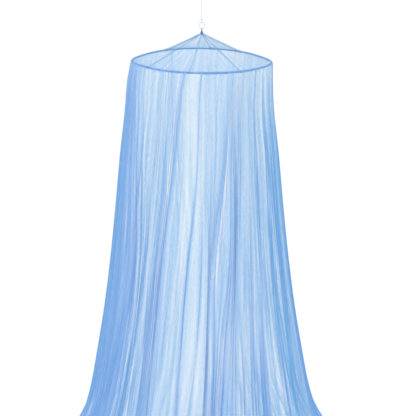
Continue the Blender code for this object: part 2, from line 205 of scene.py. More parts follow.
NET_DROPS = (
    # below the hoop, middle radius, depth of its folds
    (-0.0053, 0.2985, 0.0000),
    (-0.0012, 0.3019, 0.0000),
    (0.0060, 0.3039, 0.0010),
    (0.0300, 0.3040, 0.0050),
    (0.0900, 0.3080, 0.0085),
    (0.2000, 0.3130, 0.0125),
    (0.3800, 0.3309, 0.0175),
    (0.6000, 0.3496, 0.0220),
    (0.8400, 0.3726, 0.0265),
    (1.0800, 0.4018, 0.0300),
    (1.3000, 0.4361, 0.0330),
    (1.4500, 0.4625, 0.0345),
    (1.5500, 0.4890, 0.0340),
    (1.7000, 0.5720, 0.0300),
    (1.8150, 0.6350, 0.0240),
    (1.8500, 0.6680, 0.0140),
    (1.8592, 0.7060, 0.0050),
)
HEM_DEPTH = 0.022  # how much of the cloth's end is turned up and sewn down
HEM_LAYERS = 2.0
HEM_ROWS = (0.1, 0.5, 1.0)  # the hem's rows of points, as shares of its depth
SEAM_LAYERS, SEAM_DEPTH = 2.2, 0.0050  # along the hoop the cloth is folded into a seam
NET_LEAN = -0.0090  # how far the net hangs to the left of the hoop's middle
LEAN_DROP = 0.160  # below the hoop, from where on it leans in full
LEAN_CURVE = ((-0.01, 0.0, 0.04, 0.09, 0.16), (0.0, 0.0, 0.35, 0.80, 1.0))
CHART_DROPS = (0.0, 0.4, 0.8, 1.2, 1.6)
GATHER_CHART = (
    # bearing of the zone's left edge at each of CHART_DROPS, layers gathered, size of its folds
    ((-180.0, -180.0, -180.0, -180.0, -180.0), 2.4, 0.6),  # back, left half
    ((-158.0, -164.0, -170.0, -170.0, -170.0), 3.0, 0.6),
    ((-138.0, -134.0, -132.0, -130.0, -128.0), 3.6, 0.6),
    ((-124.0, -122.0, -120.0, -118.0, -116.0), 4.2, 0.5),
    ((-113.0, -112.0, -111.0, -110.0, -109.0), 5.0, 0.4),
    ((-104.0, -103.0, -102.0, -101.0, -101.0), 6.0, 0.3),
    ((-96.0, -95.0, -94.0, -93.0, -93.0), 7.5, 0.2),  # the outer edge
    ((-87.0, -86.0, -85.0, -84.0, -84.0), 10.0, 0.15),
    ((-76.0, -76.0, -75.0, -74.0, -75.0), 13.5, 0.15),  # bunched left side
    ((-62.5, -54.5, -48.5, -50.5, -54.5), 8.5, 0.4),
    ((-55.0, -50.5, -46.0, -48.0, -50.2), 4.2, 0.6),
    ((-52.5, -48.5, -44.6, -46.6, -49.0), 6.2, 0.9),
    ((-49.0, -46.0, -43.0, -45.0, -47.5), 3.2, 0.6),
    ((-45.5, -43.0, -41.5, -43.8, -46.0), 5.0, 0.9),
    ((-41.0, -38.5, -40.3, -42.6, -44.6), 3.9, 0.6),
    ((-35.0, -34.5, -38.3, -40.0, -41.5), 5.0, 0.6),  # left shade
    ((-27.0, -28.5, -32.5, -34.2, -36.0), 6.0, 0.6),
    ((-15.0, -20.4, -25.8, -28.2, -29.8), 8.5, 0.5),  # the main fold
    ((-12.9, -18.6, -24.4, -27.0, -28.8), 5.8, 0.5),
    ((-12.0, -15.0, -19.5, -23.0, -26.5), 4.2, 0.5),
    ((-10.5, -12.0, -15.0, -19.0, -24.0), 2.9, 0.25),  # plain band
    ((-0.6, -2.1, -8.2, -11.8, -13.1), 9.0, 0.4),
    ((0.4, -1.1, -7.2, -10.8, -12.2), 3.2, 0.25),
    ((1.5, 1.5, 0.5, -3.1, -9.5), 6.5, 0.4),
    ((2.2, 2.2, 1.2, -2.2, -8.6), 3.6, 0.25),
    ((4.5, 5.0, 5.2, 3.0, -0.2), 6.0, 0.5),  # middle shade
    ((24.2, 16.6, 6.8, 4.3, 1.8), 10.0, 0.5),  # the second fold, two lines
    ((24.9, 17.2, 7.5, 5.0, 2.5), 4.4, 0.5),
    ((25.5, 18.0, 9.6, 7.4, 4.0), 10.0, 0.5),
    ((26.2, 18.7, 10.4, 8.2, 4.8), 6.4, 0.7),
    ((27.0, 21.6, 18.6, 11.4, 6.1), 2.4, 0.4),  # the long pale streak
    ((27.6, 22.4, 20.0, 12.8, 7.4), 8.5, 0.7),
    ((28.4, 23.4, 21.2, 14.0, 8.6), 5.8, 0.9),  # fine folds on the right
    ((33.0, 30.0, 27.0, 25.0, 22.0), 4.8, 0.8),
    ((45.5, 42.0, 39.5, 36.0, 34.5), 4.0, 0.6),
    ((46.6, 44.2, 41.0, 37.4, 36.0), 8.0, 0.7),
    ((49.0, 46.4, 44.0, 40.6, 39.5), 4.4, 0.8),
    ((54.0, 52.0, 50.0, 49.0, 48.5), 3.6, 0.6),
    ((57.0, 55.0, 53.0, 52.0, 51.5), 5.2, 0.8),
    ((61.0, 59.0, 57.0, 56.0, 55.5), 3.4, 0.6),
    ((66.0, 63.0, 61.5, 60.5, 60.0), 5.5, 0.6),
    ((72.0, 70.0, 68.0, 67.0, 66.0), 5.2, 0.4),
    ((77.0, 76.0, 75.0, 75.0, 74.0), 9.6, 0.2),  # bunched right side
    ((85.0, 85.0, 84.0, 84.0, 83.0), 6.8, 0.3),
    ((93.0, 93.0, 92.0, 92.0, 92.0), 5.0, 0.4),
    ((105.0, 103.0, 102.0, 101.0, 101.0), 4.0, 0.6),  # back, right half
    ((122.0, 121.0, 120.0, 120.0, 120.0), 3.6, 0.6),
    ((143.0, 146.0, 149.0, 149.0, 149.0), 2.6, 0.6),
    ((180.0, 180.0, 180.0, 180.0, 180.0), 0.0, 0.6),
)
WARPS = (
    # how far cloth is moved along, as a share of a cell, cells round the net and down it, seed
    (0.20, 60, 3, 11),
    (0.16, 210, 4, 12),
)
HEM_SWELLS = (
    # waves round the net, share of the radius, phase
    (2, 0.012, math.radians(35.0)),
    (3, 0.009, math.radians(200.0)),
    (5, 0.006, math.radians(80.0)),
)
NET_COLUMNS, NET_ROWS = 2016, 46
FOLDS, FOLD_SWAY, FOLD_STAND = 168, 1.1, 0.37  # folds round the net, their reach sideways and out
RIPPLES, RIPPLE_SWAY, RIPPLE_STAND = 504, 0.9, 0.08  # the same for the finer ripples
FOLD_WAVES = dict(count=FOLDS, slower=2, rows=(4, 7), sizes=(0.55, 0.75, 0.05, 1.4), swing=3.0, seed=13)
RIPPLE_WAVES = dict(count=RIPPLES, slower=3, rows=(6, 9), sizes=(0.15, 0.50, 0.0, 0.8), swing=2.5, seed=15)
BROAD_WAVES, BROAD_STAND = 44, 0.5  # slower waves, each under several folds, and their reach out
TAUT_REACH = 0.58  # how far out cloth without folds hangs, as a share of their depth
FOLDS_GROWN = 0.05  # below the hoop, where the folds have their full sway
FLOOR_STAND = 0.3  # how high the folds stand up on the floor, as a share of their depth


def eased(places, knots, values):
    """A smooth line through (knots, values): each span is a cubic whose end slopes are the line's own."""
    knots, values = np.asarray(knots, float), np.asarray(values, float)
    slopes = np.gradient(values, knots)
    span = np.clip(np.searchsorted(knots, places, side="right") - 1, 0, len(knots) - 2)
    width = knots[span + 1] - knots[span]
    s = np.clip((places - knots[span]) / width, 0.0, 1.0)
    return (
        values[span] * (1 + 2 * s) * (1 - s) ** 2
        + slopes[span] * width * s * (1 - s) ** 2
        + values[span + 1] * s**2 * (3 - 2 * s)
        + slopes[span + 1] * width * s**2 * (s - 1)
    )


def drift(across, down, across_cells, down_cells, seed):
    """Slow random change from -1 to 1: random numbers on a grid that closes round the net, eased
    between its points. across and down run from 0 to 1."""
    grid = np.random.default_rng(seed).uniform(-1.0, 1.0, (down_cells + 2, across_cells))
    x, y = (across % 1.0) * across_cells, down * down_cells
    i, j = np.floor(x).astype(int) % across_cells, np.minimum(np.floor(y).astype(int), down_cells)
    s, t = x - np.floor(x), y - j
    s, t = s * s * (3 - 2 * s), t * t * (3 - 2 * t)
    low = grid[j, i] * (1 - s) + grid[j, (i + 1) % across_cells] * s
    high = grid[j + 1, i] * (1 - s) + grid[j + 1, (i + 1) % across_cells] * s
    return low * (1 - t) + high * t


def lay_mesh(name, points, finish, slot, ring=False, capped=False, along=None, **marks):
    """A surface over a grid of points (rows, columns, 3) that closes sideways, and with ring also end
    to end. Quads join each point to its neighbours, and capped closes both end rows. The UV map is
    the grid laid flat, its rows placed at along from 0 to 1, or evenly. Each mark becomes an
    attribute of the points."""
    rows, columns = points.shape[:2]
    last = rows if ring else rows - 1
    along = np.arange(last + 1) / last if along is None else along
    row, column = np.meshgrid(np.arange(last), np.arange(columns), indexing="ij")
    below, after = (row + 1) % rows, (column + 1) % columns
    row_start, below_start = row * columns, below * columns
    corners = [row_start + column, below_start + column, below_start + after, row_start + after]
    corners = np.stack(corners, -1).reshape(-1)
    across = np.stack([column, column, column + 1, column + 1], -1).reshape(-1) / columns
    down = along[np.stack([row, row + 1, row + 1, row], -1).reshape(-1)]
    starts = np.arange(0, corners.size, 4)
    if capped:
        starts = np.append(starts, [corners.size, corners.size + columns])
        ends = np.concatenate([np.arange(columns), rows * columns - 1 - np.arange(columns)])
        corners = np.append(corners, ends)
        across = np.append(across, ends % columns / columns)
        down = np.append(down, along[ends // columns])
    mesh = bpy.data.meshes.new(name)
    mesh.vertices.add(rows * columns)
    mesh.vertices.foreach_set("co", points.reshape(-1).astype(np.float32))
    mesh.loops.add(corners.size)
    mesh.loops.foreach_set("vertex_index", corners.astype(np.int32))
    mesh.polygons.add(starts.size)
    mesh.polygons.foreach_set("loop_start", starts.astype(np.int32))
    mesh.update(calc_edges=True)
    flat = np.stack([across, 1.0 - down], -1)
    mesh.uv_layers.new(name="cloth").data.foreach_set("uv", flat.reshape(-1).astype(np.float32))
    for mark, values in marks.items():
        layer = mesh.attributes.new(mark, "FLOAT", "POINT")
        layer.data.foreach_set("value", values.reshape(-1).astype(np.float32))
    mesh.polygons.foreach_set("use_smooth", np.ones(starts.size, bool))
    mesh.materials.append(finish.material)
    mesh.validate()
    piece = bpy.data.objects.new(name, mesh)
    scene.collection.objects.link(piece)
    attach(piece, "root")
    return piece


def circle(count):
    """That many angles round a circle, in radians."""
    return 2 * np.pi * np.arange(count) / count


def round_points(radius, bearing, height):
    """Points at this radius, bearing in radians and height. Bearing 0 is the front, and it grows to the
    right."""
    return np.stack(np.broadcast_arrays(radius * np.sin(bearing), -radius * np.cos(bearing), height), -1)


def spread(values, reach):
    """The mean of each value and its neighbours in the row, as far as reach on both sides."""
    return sum(np.roll(values, shift, axis=1) for shift in range(-reach, reach + 1)) / (2 * reach + 1)


def lowered(bearing, level):
    """How far the hoop's own hang lowers a point at this bearing, all of it at level 1: a tilt, a
    droop, and a bend that grows as the fourth power of the distance to either side."""
    side, back = np.sin(bearing), -np.cos(bearing)
    hang = HOOP_TILT * side + HOOP_DROOP * side**2 + HOOP_BEND * back * side**4 + HOOP_BACK * (1 + back) / 2
    return hang * level


def gathered_cover(points, layers, crowding=CROWDING):
    """How much light each point stops: 1 less what passes through the layers gathered there. Where
    the points crowd together more than around them, a power of that adds to it."""
    step = np.linalg.norm(np.roll(points, -1, axis=1) - np.roll(points, 1, axis=1), axis=-1)
    crowd = spread(step, 24) / np.maximum(spread(step, 2), 1e-6)
    return 1.0 - (1.0 - THREAD_COVER) ** (layers * np.clip(crowd, 0.5, 5.0) ** crowding)


def gathers(across, down, count, slower, rows, sizes, swing, seed):
    """So many waves round the cloth: each point's wave size, and its phase in radians. sizes are
    the middle size, its random change, and the least and the most. The phase swings at random on
    the way down, slower times as slowly round the cloth as the size."""
    middle, change, least, most = sizes
    size = np.clip(middle + change * drift(across, down, count, rows[0], seed), least, most)
    swung = swing * drift(across, down, count // slower, rows[1], seed + 1)
    return size, 2 * np.pi * count * across + swung


def net_rows():
    """The net's rows from the hoop down: each one's share of the way, its drop below the hoop, its
    middle radius, the depth of its folds, how steeply it falls, and whether it is hem. They lie
    closer together over the hoop and in the hem."""
    drops, radii, depths = (np.array(c) for c in zip(*NET_DROPS))
    run = np.concatenate([[0.0], np.cumsum(np.hypot(np.diff(drops), np.diff(radii)))])
    over_hoop = [*run[:2], run[1] + 0.0035, run[2], run[2] + 0.006, run[2] + 0.013]
    hem_line = run[-1] - HEM_DEPTH
    hung = np.linspace(run[3], hem_line, NET_ROWS - len(over_hoop) - len(HEM_ROWS))
    places = np.concatenate([over_hoop, hung, hem_line + HEM_DEPTH * np.array(HEM_ROWS)])
    drop, radius, depth = (eased(places, run, line)[:, None] for line in (drops, radii, depths))
    fall = np.gradient(drop[:, 0], places)[:, None]
    places = places[:, None]
    return places / run[-1], drop, radius, np.maximum(depth, 0.0), fall, places > hem_line


def shared_cloth(across, down, drop):
    """Where the cloth hangs: each point's bearing in radians, the size of its folds, and the layers
    gathered there. The cloth is shared out to zones by width times fullness, and a zone's edges
    follow their bearings down. Slow random warps crowd it in some places and thin it in others."""
    edges, gathered, fold_size = (np.array(c) for c in zip(*GATHER_CHART))
    cloth = np.concatenate([[0.0], np.cumsum(np.diff(edges.mean(axis=1)) * gathered[:-1])])
    cloth /= cloth[-1]
    loose = spread(fold_size[np.searchsorted(cloth, across, side="right") - 1], 9)
    warp = sum(size / cells * drift(across, down, cells, rows, seed) for size, cells, rows, seed in WARPS)
    carried = across + loose * warp
    turns = np.floor(carried)
    chart_drop = np.clip(drop[:, 0], 0.0, CHART_DROPS[-1])
    edges_there = np.array([eased(chart_drop, CHART_DROPS, edge) for edge in edges]).T
    bearing = np.array([np.interp(share, cloth, row) for share, row in zip(carried - turns, edges_there)])
    zone = np.searchsorted(cloth, carried - turns, side="right") - 1
    return np.radians(bearing + 360.0 * turns), spread(fold_size[zone], 5), spread(gathered[zone], 3)


def edge_on(points, angle):
    """How much more cloth light crosses where a fold's wall slants inwards: the root of its length
    over the length that shows from straight outside."""
    ahead = np.roll(points, -1, axis=1) - np.roll(points, 1, axis=1)
    out = round_points(1.0, angle, 0.0)
    length, inward = np.linalg.norm(ahead, axis=-1), (ahead * out).sum(-1)
    return np.clip(length / np.sqrt(np.maximum(length**2 - inward**2, 1e-10)), 1.0, 3.0) ** 0.5


def hung_net_shape():
    """The net's points, how much light each stops, and its rows' shares of the way down.

    Folds of equal cloth are laid along it: each sways sideways as a sine and in and out as a cosine,
    so that a full one turns back under itself, and ripples do the same on a third of the scale.
    Slower waves run under them, and cloth without folds hangs at their outer edge. Downwards, radius
    and depth follow NET_DROPS, and where the cloth lies out on the floor its folds stand up. Slow
    swells take the hem's outline off the round.
    """
    across = (np.arange(NET_COLUMNS) / NET_COLUMNS)[None, :]
    down, drop, radius, depth, fall, in_hem = net_rows()
    bearing, fold_depth, layers = shared_cloth(across, down, drop)
    size, phase = gathers(across, down, **FOLD_WAVES)
    small, small_phase = gathers(across, down, **RIPPLE_WAVES)
    size, small = size * fold_depth, small * fold_depth
    thin = spread(np.gradient(bearing, axis=1), 6) * NET_COLUMNS / (2 * np.pi)
    grown = np.clip(drop / FOLDS_GROWN, 0.0, 1.0)
    sway = FOLD_SWAY * size / FOLDS * np.sin(phase) + RIPPLE_SWAY * small / RIPPLES * np.sin(small_phase)
    angle = bearing + grown * thin * sway

    broad = BROAD_STAND * drift(bearing / (2 * np.pi) + 0.5, down, BROAD_WAVES, 2, 17)
    broad = broad * np.minimum(fold_depth + 0.3, 1.0)
    taut = TAUT_REACH * np.clip(1.0 - fold_depth, 0.0, 1.0)
    folded = FOLD_STAND * size * np.cos(phase) + RIPPLE_STAND * small * np.cos(small_phase)
    stand = depth * (broad + taut + folded)
    foot = (np.clip(drop, 0.0, None) / (HOOP_Z - FLOOR_Z)) ** 6
    swell = foot * sum(high * np.sin(waves * bearing + turn) for waves, high, turn in HEM_SWELLS)
    reach = (radius + stand * fall) * (1.0 + swell)
    lean = NET_LEAN * eased(np.clip(drop, 0.0, LEAN_DROP), *LEAN_CURVE)
    height = HOOP_Z - drop - lowered(bearing, np.clip(1.0 - drop / LEVEL_DROP, 0.0, 1.0))
    flare = np.sqrt(np.clip(1.0 - fall**2, 0.0, 1.0))
    height = height + flare * np.maximum(stand + FLOOR_STAND * depth, 0.0)
    points = round_points(reach, angle, height)
    points[..., 0] += lean

    layers = layers * edge_on(points, angle) * (1.0 + HEM_SHADE * down)
    layers = layers * np.where(in_hem, HEM_LAYERS, 1.0) * np.where(drop < SEAM_DEPTH, SEAM_LAYERS, 1.0)
    layers = layers * (1.0 + LAYER_DRIFT * drift(across, down, RIPPLES, 5, 18))
    return points, gathered_cover(points, layers), down[:, 0]


def net_finish(name, wide, long):
    """Fine net, over a UV map so wide and long in metres. Six-sided holes lie over the flat cloth:
    they show where one layer hangs alone and close up where the cloth is gathered. Each thread
    joins three others: cos x + 2 cos(x/2) cos(0.866 y) is high over a hole and low along the
    threads. Threads are uneven, and fine creases show where the cloth is half dense. Painted shade
    makes dense cloth a shade deeper, and a glow of the net's own colour is painted light that lifts its
    shade."""
    fixed = dict(Roughness=0.8, Sheen_Weight=0.05, Sheen_Roughness=0.4, Specular_IOR_Level=0.15)
    finish = Finish(name, Emission_Strength=NET_PAINTED_GLOW, **fixed)
    flat = finish.node("ShaderNodeUVMap", {"uv_map": "cloth"})[0]
    u, v, _ = finish.node("ShaderNodeSeparateXYZ", {}, {0: flat})
    x = u * (2 * math.pi * 2 * round(wide / MESH_PITCH / 2))
    y = v * (2 * math.pi * long / MESH_PITCH)
    hole = x.cosine() + (x * 0.5).cosine() * (y * 0.866).cosine() * 2.0
    thread = ((THREAD_EDGE - hole) * THREAD_RISE).least(1.0).most(0.0)
    cover = finish.node("ShaderNodeAttribute", {"attribute_name": "cover"})[2]
    meshed = (1.0 - cover) * (thread - MESH_SHARE) * MESH_CONTRAST + 1.0
    place = finish.node("ShaderNodeTexCoord")[3]
    grain = finish.noise(place, GRAIN_SCALE, 1.0) * GRAIN + (1.0 - GRAIN / 2)
    across, down = u * (wide * CREASES[0]), v * (long * CREASES[1])
    laid = finish.node("ShaderNodeCombineXYZ", {}, {0: across, 1: down})[0]
    streak = (finish.noise(laid, 1.0, 2.5) - 0.5) * CREASE_CONTRAST * cover * (1.0 - cover)
    crease = streak.least(CREASE_MOST).most(-CREASE_MOST) + 1.0
    # Painted shade: dense cloth moves towards the darker colour, for the shade inside its gathers.
    deep = ((cover - SHADE_FROM_COVER) * SHADE_RISE).least(1.0).most(0.0)
    colour = finish.blend(deep, NET_TINT, NET_DENSE_SHADE)
    # Painted light: the net also gives off its own colour as a glow, lifting the shade in its folds.
    finish.feed(Base_Color=colour, Emission_Color=colour)
    finish.feed(Alpha=(cover * grain * meshed * crease).least(0.98).most(0.02))
    finish.relief(thread, 0.0003)
    return finish


points, cover, down = hung_net_shape()
hung_finish = net_finish("sheer_blue_net", CUT_WIDTH, CUT_LENGTH)
hung_cloth = lay_mesh("hung_net_cloth", points, hung_finish, "blue_net", along=down, cover=cover)
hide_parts("hung_net")

# ---- Roof net ---------------------------------------------------------------------------
# A round panel of the same net, gathered to a point under the binding and laid over the
# stays, so that it sags between them. Its rim is sewn to the hung net round the hoop.
STAYS = (
    # bearing, and how much the roof net curves down between this stay and the next
    (-149.0, 0.75),
    (-50.0, 0.14),
    (-10.0, 0.16),
    (33.0, 1.35),
    (146.0, 0.06),
    (172.0, 0.13),
)
ROOF_TOP, ROOF_RIM = 0.1162, 0.0053  # above the hoop's middle line
TIP_RADIUS, ROOF_RADIUS = 0.0095, 0.2985
ROOF_LAYERS = (2.632, 6.204)  # gathered at the tip and at the rim
ROOF_LAYER_DRIFT = 0.2  # how much they change from place to place
RIM_SEAM = 0.985  # the share of the way out from which the rim's seam runs
ROOF_COLUMNS, ROOF_ROWS = 1056, 44
ROW_POWER = 1.35  # it draws the rows together towards the tip
SAG_POWER = 1.6  # how flat the sag is in the middle of a span
ROOF_GATHERS = 66
ROOF_SWAY, ROOF_LIFT = 0.45, 0.0014  # the gathers' reach sideways near the tip, and their height there
ROOF_WARP, ROOF_CELLS = 0.25, 30  # how far they wander, as a share of a cell, and cells round the roof
ROOF_WAVES = dict(count=ROOF_GATHERS, slower=2, rows=(4, 3), sizes=(0.55, 0.7, 0.05, 1.3), swing=2.4, seed=21)
ROOF_GIRTH, ROOF_SLOPE = 1.9, 0.32  # round the hoop, and from the tip to the hoop
ROOF_CROWDING = 0.2


def roof_net_shape():
    """The roof's points and how much light each stops.

    From the tip to the rim the height falls as a power of the distance left: straight over a stay,
    and more hollow in a wide span. Gathers stand up as a cosine round it, tallest near the tip.
    """
    stays = np.array([bearing for bearing, _ in STAYS] + [STAYS[0][0] + 360.0])
    sags = np.array([sag for _, sag in STAYS])
    across = (np.arange(ROOF_COLUMNS) / ROOF_COLUMNS)[None, :]
    share = np.linspace(0.0, 1.0, ROOF_ROWS)[:, None] ** ROW_POWER
    size, phase = gathers(across, share, **ROOF_WAVES)
    sway = ROOF_SWAY * size * (1.0 - share) ** 0.7 * np.clip(share / 0.03, 0.0, 1.0)
    warp = ROOF_WARP / ROOF_CELLS * drift(across, share, ROOF_CELLS, 1, 23) * (1.0 - share)
    turned = (across + warp) * 360.0 + stays[0]
    turned = turned + sway * np.sin(phase) * 360.0 / (2 * np.pi * ROOF_GATHERS)
    placed = stays[0] + (turned - stays[0]) % 360.0
    span = np.clip(np.searchsorted(stays, placed, side="right") - 1, 0, len(sags) - 1)
    place = (placed - stays[span]) / (stays[span + 1] - stays[span])
    power = 1.0 + sags[span] * (1.0 - np.abs(2.0 * place - 1.0) ** SAG_POWER)
    angle = np.radians(turned)
    held = np.clip(share / 0.06, 0.3, 1.0) * np.clip((1.0 - share) / 0.1, 0.0, 1.0)
    lift = ROOF_LIFT * (1.0 - share) ** 1.5 * held
    height = ROOF_RIM + (ROOF_TOP - ROOF_RIM) * (1.0 - share) ** power
    height = height + lift * size * (0.5 + 0.5 * np.cos(phase)) - lowered(angle, share)
    radius = TIP_RADIUS + (ROOF_RADIUS - TIP_RADIUS) * share
    points = round_points(radius, angle, HOOP_Z + height)
    tip, rim = ROOF_LAYERS
    layers = (tip + (rim - tip) * share) * (1.0 + ROOF_LAYER_DRIFT * drift(across, share, 240, 4, 24))
    layers = layers * np.where(share > RIM_SEAM, SEAM_LAYERS, 1.0)
    return points, gathered_cover(points, layers, ROOF_CROWDING), share[:, 0]


points, cover, share = roof_net_shape()
roof_finish = net_finish("sheer_blue_roof_net", ROOF_GIRTH, ROOF_SLOPE)
roof_cloth = lay_mesh("roof_net_cloth", points, roof_finish, "blue_net", along=share, cover=cover)
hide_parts("roof_net")

# ---- Hoop and joining sleeve ------------------------------------------------------------
# A light hoop wound in blue cloth tape, each turn lapping the one before. A cloth sleeve
# over its two ends holds them together, a little to the right of the front.
TAPE_BLUE = (0.12, 0.28, 0.56, 1.0)
HOOP_RADIUS = 0.2965
TAPE_TURNS, TAPE_STEPS = 124, 12
TAPE_RADIUS, TAPE_LAP = 0.00295, 0.00045
SLEEVE_BEARINGS = (0.0, 20.0)
SLEEVE_INSIDE, SLEEVE_OUTSIDE = 0.0036, 0.0046
SLEEVE_STEPS, SLEEVE_NOSE = 64, 0.004  # rows on each side, and how far its rounded ends stand out
SLEEVE_SEAMS = (0.05, 0.95)  # where it is sewn tight, as shares of its length
RIGHT, BACK, UP = np.eye(3)


def sweep(route, axis, deep, wide=None, sides=12, ahead=None, turned=0.0, power=1.0):
    """Rings of points round a route, each at the route's point + deep * cos(t) * side + wide * sin(t)
    * axis, where side is the route's direction crossed with axis. turned is added to t, and a power
    under 1 squares the rings off."""
    ahead = np.gradient(route, axis=0) if ahead is None else ahead
    axis = np.broadcast_to(np.asarray(axis, float), route.shape)
    side = np.cross(ahead, axis)
    side /= np.linalg.norm(side, axis=1, keepdims=True)
    t = circle(sides) + turned
    c, d = (np.sign(f(t)) * np.abs(f(t)) ** power for f in (np.cos, np.sin))
    deep = np.broadcast_to(deep, (len(route), sides))
    wide = deep if wide is None else np.broadcast_to(wide, (len(route), sides))
    return route[:, None] + (deep * c)[..., None] * side[:, None] + (wide * d)[..., None] * axis[:, None]


def thread_finish(name, colour, around, along, roughness=0.75):
    """Woven or twisted thread: fine crossed lines, so many round the piece and along it, over its UV
    map. Painted shade darkens it in the grooves that ridge marks and between its threads, and it is unevenly
    faded."""
    finish = Finish(name, Roughness=roughness, Sheen_Weight=0.15, Sheen_Roughness=0.5, Specular_IOR_Level=0.3)
    flat = finish.node("ShaderNodeUVMap", {"uv_map": "cloth"})[0]
    u, v, _ = finish.node("ShaderNodeSeparateXYZ", {}, {0: flat})
    one = ((u * around + v * along) * (2 * math.pi)).sine() * 0.5 + 0.5
    other = ((u * around - v * along) * (2 * math.pi)).sine() * 0.5 + 0.5
    weave = one.most(other)
    ridge = finish.node("ShaderNodeAttribute", {"attribute_name": "ridge"})[2]
    faded = finish.noise(finish.node("ShaderNodeTexCoord")[3], 70.0)
    # Painted shade and real fading: the grooves that ridge marks and the gaps between threads take the darker
    # copy of the colour, and the noise varies it at random.
    shade_and_fade = (ridge * 0.45 + weave * 0.15 + faded * 0.40).least(1.0)
    dark = tuple(c * 0.62 for c in colour[:3]) + (1.0,)
    light = tuple(min(c * 1.28 + 0.01, 1.0) for c in colour[:3]) + (1.0,)
    finish.feed(Base_Color=finish.blend(shade_and_fade, dark, light))
    finish.relief(weave * 0.5 + faded * 0.5, 0.00025)
    return finish


def hoop_line(bearing):
    """Points on the hoop's middle line at these bearings, in radians, and its direction there."""
    line = round_points(HOOP_RADIUS, bearing, HOOP_Z - lowered(bearing, 1.0))
    return line, round_points(1.0, bearing + np.pi / 2, 0.0)


# The tape climbs a lap's height over each turn, then drops to the next, and the turns slant.
bearing = np.linspace(-np.pi, np.pi, TAPE_TURNS * TAPE_STEPS, endpoint=False)
line, ahead = hoop_line(bearing)
around = circle(20)
lap = (bearing[:, None] * TAPE_TURNS / (2 * np.pi) + around / (2 * np.pi)) % 1.0
# Painted shade: the tape is darker where ridge is low, at the foot of each lap beside the edge of the turn
# over it.
ridge = lap * np.clip((1.0 - lap) / 0.12, 0.0, 1.0)
points = sweep(line, UP, TAPE_RADIUS + TAPE_LAP * ridge, sides=20, ahead=ahead)
tape_finish = thread_finish("blue_hoop_tape", TAPE_BLUE, 24, 2600)
hoop_wound = lay_mesh("hoop_wound", points, tape_finish, "blue_binding", ring=True, ridge=ridge)
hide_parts("hoop")

# The sleeve is a tube wall: out along its outer side, in over the end, and back inside.
first, last = np.radians(SLEEVE_BEARINGS)
edge = np.array([0.25, 0.5, 0.75])
nose = SLEEVE_NOSE * np.sin(np.pi * edge)
places = np.linspace(0.0, 1.0, SLEEVE_STEPS)
share = np.concatenate([places, 1.0 + nose, places[::-1], -nose])
level = np.concatenate([np.ones(SLEEVE_STEPS), 1.0 - edge, np.zeros(SLEEVE_STEPS), edge])[:, None]
line, ahead = hoop_line(first + (last - first) * share)
share = share[:, None]
around = circle(28)
pucker = 0.5 + 0.5 * np.sin(share * 90.0 + 2.0 * np.sin(around) + 3.0 * around)
sewn = 1.0 - sum(0.6 * np.exp(-(((share - seam) / 0.02) ** 2)) for seam in SLEEVE_SEAMS)
cloth = (SLEEVE_OUTSIDE - SLEEVE_INSIDE) * level * sewn * (0.82 + 0.18 * pucker)
points = sweep(line, UP, SLEEVE_INSIDE + cloth, sides=28, ahead=ahead)
sleeve_finish = thread_finish("blue_sleeve_cloth", TAPE_BLUE, 40, 260)
# Painted shade: the sleeve's inner wall and the hollows of its puckers take the darker colour.
sleeve = lay_mesh("joining_sleeve", points, sleeve_finish, "blue_binding", ring=True, ridge=level * pucker)
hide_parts("hoop_joiner")

# ---- Stays ------------------------------------------------------------------------------
# Six blue cords, each twisted from three strands, run under the roof net from the binding
# at its tip to the hoop. Each goes once round the hoop and is knotted on its inner side.
CORD_TWIST = 0.0052  # the length of one turn of the strands
CORD_STEP = 0.0004
STAY_RADIUS, STAY_KNOT = 0.00115, 0.0024
STAY_TOP = (0.0056, 0.1122)  # out from the net's middle, and up from the hoop's middle line there
STAY_FOOT, STAY_END = (-0.0058, 0.0015), (-0.0047, 0.0010)  # out and up from the hoop's middle line
STAY_LOOP, LOOP_ANGLES = 0.0043, (196.0, 500.0)  # its turn round the hoop
STAY_BLUE = (0.075, 0.19, 0.45, 1.0)


def evenly(points, step):
    """The same line with a point about every step of its length."""
    points = np.asarray(points, float)
    length = np.concatenate([[0.0], np.cumsum(np.linalg.norm(np.diff(points, axis=0), axis=1))])
    wanted = np.linspace(0.0, length[-1], int(length[-1] / step) + 2)
    return np.stack([eased(wanted, length, points[:, i]) for i in range(points.shape[1])], -1)


def twisted(route, axis, radius, knots=(), knot_radius=0.0, knot_reach=0.001):
    """A three-strand cord: a ring's radius is highest over each strand, and the rings turn along the
    route. Near each of knots, places along it, it swells into a ball with turns of cord across it."""
    place = np.concatenate([[0.0], np.cumsum(np.linalg.norm(np.diff(route, axis=0), axis=1))])[:, None]
    strand = np.abs(np.cos(1.5 * circle(12)))
    deep = radius * (0.80 + 0.24 * strand)
    for knot in knots:
        near = 1.0 - ((place - knot) / knot_reach) ** 2
        wraps = 1.0 + 0.10 * np.sin(2 * np.pi * (place - knot) / 0.0013)
        deep = np.maximum(deep, knot_radius * np.sqrt(np.maximum(near, 0.0)) * wraps)
    turn = 2 * np.pi * place / CORD_TWIST
    return sweep(route, axis, deep, turned=turn), np.broadcast_to(strand, (len(route), 12))


